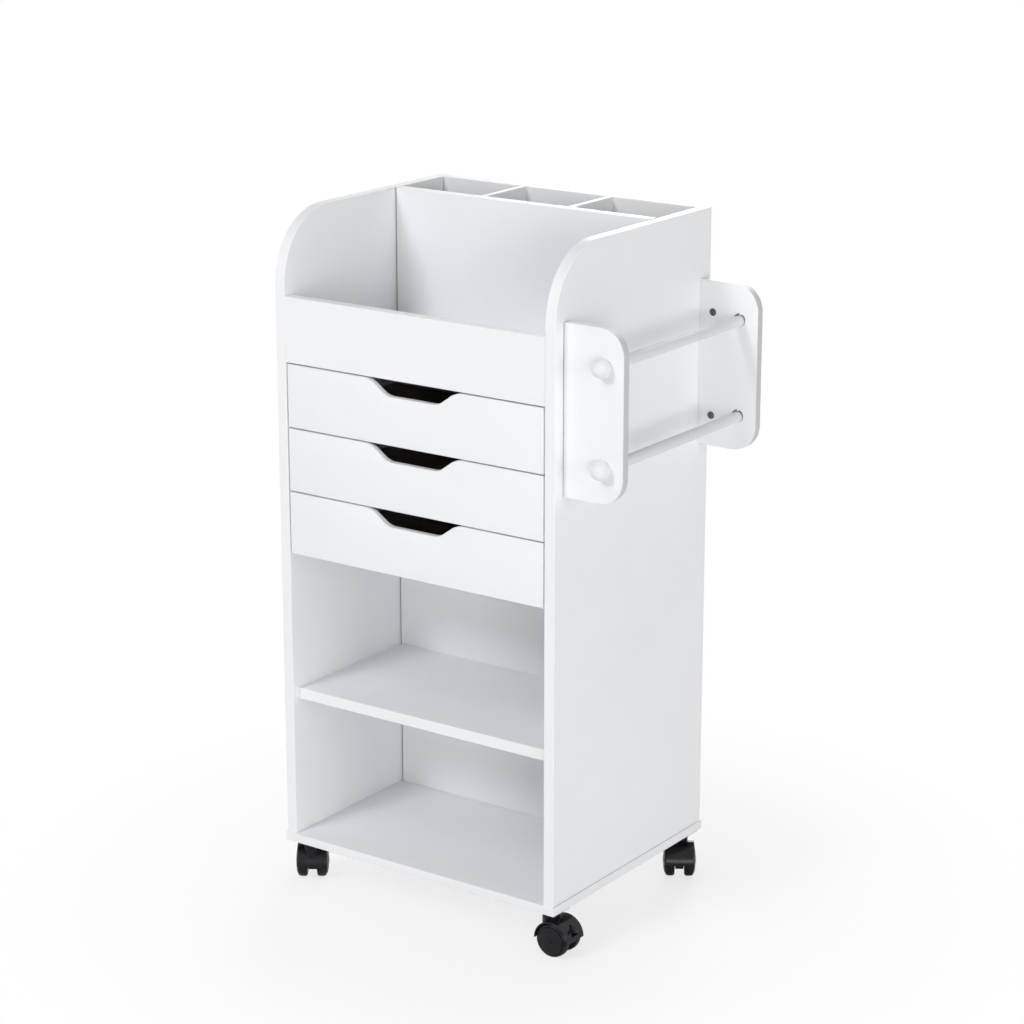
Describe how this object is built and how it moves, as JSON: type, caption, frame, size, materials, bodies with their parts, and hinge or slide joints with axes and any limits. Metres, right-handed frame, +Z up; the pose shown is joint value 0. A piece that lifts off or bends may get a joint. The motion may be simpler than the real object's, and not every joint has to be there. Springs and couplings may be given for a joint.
{
  "type": "rolling drawer cart",
  "caption": "Tall white craft cart on swivel casters with a railed top tray, notched drawers, an open shelf, a compartment for rolls at the back and a spool rack with rods on one side.",
  "frame": {"origin": "on the floor, under the middle of the box round the whole cart with its rack and casters", "axes": "+Z up, -Y to the drawer fronts, +X to the side with the rack"},
  "size_m": [0.533, 0.3558, 0.9095],
  "materials": {
    "painted_board": "satin white paint on board",
    "painted_wood": "satin white paint on turned wood",
    "hardboard": "white faced hardboard",
    "runner_plastic": "moulded white",
    "caster_plastic": "glossy black",
    "zinc": "zinc plated"
  },
  "bodies": {
    "carcass": {"side_panel_left": "painted_board", "side_panel_right": "painted_board", "base_panel": "painted_board", "inner_back_panel": "painted_board", "rear_back_panel": "painted_board", "roll_divider_left": "painted_board", "roll_divider_right": "painted_board", "tray_rail": "painted_board", "tray_floor": "painted_board", "middle_shelf": "painted_board", "rack_bracket_front": "painted_board", "rack_bracket_rear": "painted_board", "rack_cam_locks": "zinc", "drawer_runners_left": "runner_plastic", "drawer_runners_right": "runner_plastic", "caster_plate_front_left": "zinc", "caster_plate_front_right": "zinc", "caster_plate_rear_left": "zinc", "caster_plate_rear_right": "zinc"},
    "drawer_1": {"drawer_1_front": "painted_board", "drawer_1_side_left": "painted_board", "drawer_1_side_right": "painted_board", "drawer_1_back": "painted_board", "drawer_1_bottom": "hardboard"},
    "drawer_2": {"drawer_2_front": "painted_board", "drawer_2_side_left": "painted_board", "drawer_2_side_right": "painted_board", "drawer_2_back": "painted_board", "drawer_2_bottom": "hardboard"},
    "drawer_3": {"drawer_3_front": "painted_board", "drawer_3_side_left": "painted_board", "drawer_3_side_right": "painted_board", "drawer_3_back": "painted_board", "drawer_3_bottom": "hardboard"},
    "rod_upper": {"rack_rod_upper": "painted_wood", "rack_knob_upper": "painted_wood"},
    "rod_lower": {"rack_rod_lower": "painted_wood", "rack_knob_lower": "painted_wood"},
    "caster_front_left": {"caster_hood_front_left": "caster_plastic", "caster_axle_front_left": "zinc"},
    "wheel_front_left_a": {"caster_wheel_front_left_a": "caster_plastic"},
    "wheel_front_left_b": {"caster_wheel_front_left_b": "caster_plastic"},
    "brake_front_left": {"caster_brake_front_left": "caster_plastic"},
    "caster_front_right": {"caster_hood_front_right": "caster_plastic", "caster_axle_front_right": "zinc"},
    "wheel_front_right_a": {"caster_wheel_front_right_a": "caster_plastic"},
    "wheel_front_right_b": {"caster_wheel_front_right_b": "caster_plastic"},
    "brake_front_right": {"caster_brake_front_right": "caster_plastic"},
    "caster_rear_left": {"caster_hood_rear_left": "caster_plastic", "caster_axle_rear_left": "zinc"},
    "wheel_rear_left_a": {"caster_wheel_rear_left_a": "caster_plastic"},
    "wheel_rear_left_b": {"caster_wheel_rear_left_b": "caster_plastic"},
    "caster_rear_right": {"caster_hood_rear_right": "caster_plastic", "caster_axle_rear_right": "zinc"},
    "wheel_rear_right_a": {"caster_wheel_rear_right_a": "caster_plastic"},
    "wheel_rear_right_b": {"caster_wheel_rear_right_b": "caster_plastic"}
  },
  "joints": [
    {"name": "drawer_1_slide", "type": "slide", "parent": "carcass", "child": "drawer_1", "axis": [0, -1, 0], "range_m": [0, 0.15]},
    {"name": "drawer_2_slide", "type": "slide", "parent": "carcass", "child": "drawer_2", "axis": [0, -1, 0], "range_m": [0, 0.15]},
    {"name": "drawer_3_slide", "type": "slide", "parent": "carcass", "child": "drawer_3", "axis": [0, -1, 0], "range_m": [0, 0.15]},
    {"name": "rod_upper_slide", "type": "slide", "parent": "carcass", "child": "rod_upper", "axis": [0, -1, 0], "range_m": [0, 0.29]},
    {"name": "rod_lower_slide", "type": "slide", "parent": "carcass", "child": "rod_lower", "axis": [0, -1, 0], "range_m": [0, 0.29]},
    {"name": "caster_front_left_swivel", "type": "hinge", "parent": "carcass", "child": "caster_front_left", "pos_m": [-0.22953, -0.14953, 0.0575], "axis": [0, 0, 1], "continuous": true},
    {"name": "wheel_front_left_a_spin", "type": "hinge", "parent": "caster_front_left", "child": "wheel_front_left_a", "pos_m": [-0.23641, -0.1397, 0.0225], "axis": [-0.8192, -0.5736, 0], "continuous": true},
    {"name": "wheel_front_left_b_spin", "type": "hinge", "parent": "caster_front_left", "child": "wheel_front_left_b", "pos_m": [-0.23641, -0.1397, 0.0225], "axis": [-0.8192, -0.5736, 0], "continuous": true},
    {"name": "brake_front_left_press", "type": "hinge", "parent": "caster_front_left", "child": "brake_front_left", "pos_m": [-0.24387, -0.12905, 0.037], "axis": [-0.8192, -0.5736, 0], "range_deg": [0, 12]},
    {"name": "caster_front_right_swivel", "type": "hinge", "parent": "carcass", "child": "caster_front_right", "pos_m": [0.16047, -0.14953, 0.0575], "axis": [0, 0, 1], "continuous": true},
    {"name": "wheel_front_right_a_spin", "type": "hinge", "parent": "caster_front_right", "child": "wheel_front_right_a", "pos_m": [0.17247, -0.14953, 0.0225], "axis": [0, 1, 0], "continuous": true},
    {"name": "wheel_front_right_b_spin", "type": "hinge", "parent": "caster_front_right", "child": "wheel_front_right_b", "pos_m": [0.17247, -0.14953, 0.0225], "axis": [0, 1, 0], "continuous": true},
    {"name": "brake_front_right_press", "type": "hinge", "parent": "caster_front_right", "child": "brake_front_right", "pos_m": [0.18547, -0.14953, 0.037], "axis": [0, 1, 0], "range_deg": [0, 12]},
    {"name": "caster_rear_left_swivel", "type": "hinge", "parent": "carcass", "child": "caster_rear_left", "pos_m": [-0.22953, 0.15697, 0.0575], "axis": [0, 0, 1], "continuous": true},
    {"name": "wheel_rear_left_a_spin", "type": "hinge", "parent": "caster_rear_left", "child": "wheel_rear_left_a", "pos_m": [-0.22353, 0.14658, 0.0225], "axis": [0.866, 0.5, 0], "continuous": true},
    {"name": "wheel_rear_left_b_spin", "type": "hinge", "parent": "caster_rear_left", "child": "wheel_rear_left_b", "pos_m": [-0.22353, 0.14658, 0.0225], "axis": [0.866, 0.5, 0], "continuous": true},
    {"name": "caster_rear_right_swivel", "type": "hinge", "parent": "carcass", "child": "caster_rear_right", "pos_m": [0.16047, 0.15697, 0.0575], "axis": [0, 0, 1], "continuous": true},
    {"name": "wheel_rear_right_a_spin", "type": "hinge", "parent": "caster_rear_right", "child": "wheel_rear_right_a", "pos_m": [0.16701, 0.14691, 0.0225], "axis": [0.8387, 0.5446, 0], "continuous": true},
    {"name": "wheel_rear_right_b_spin", "type": "hinge", "parent": "caster_rear_right", "child": "wheel_rear_right_b", "pos_m": [0.16701, 0.14691, 0.0225], "axis": [0.8387, 0.5446, 0], "continuous": true}
  ]
}
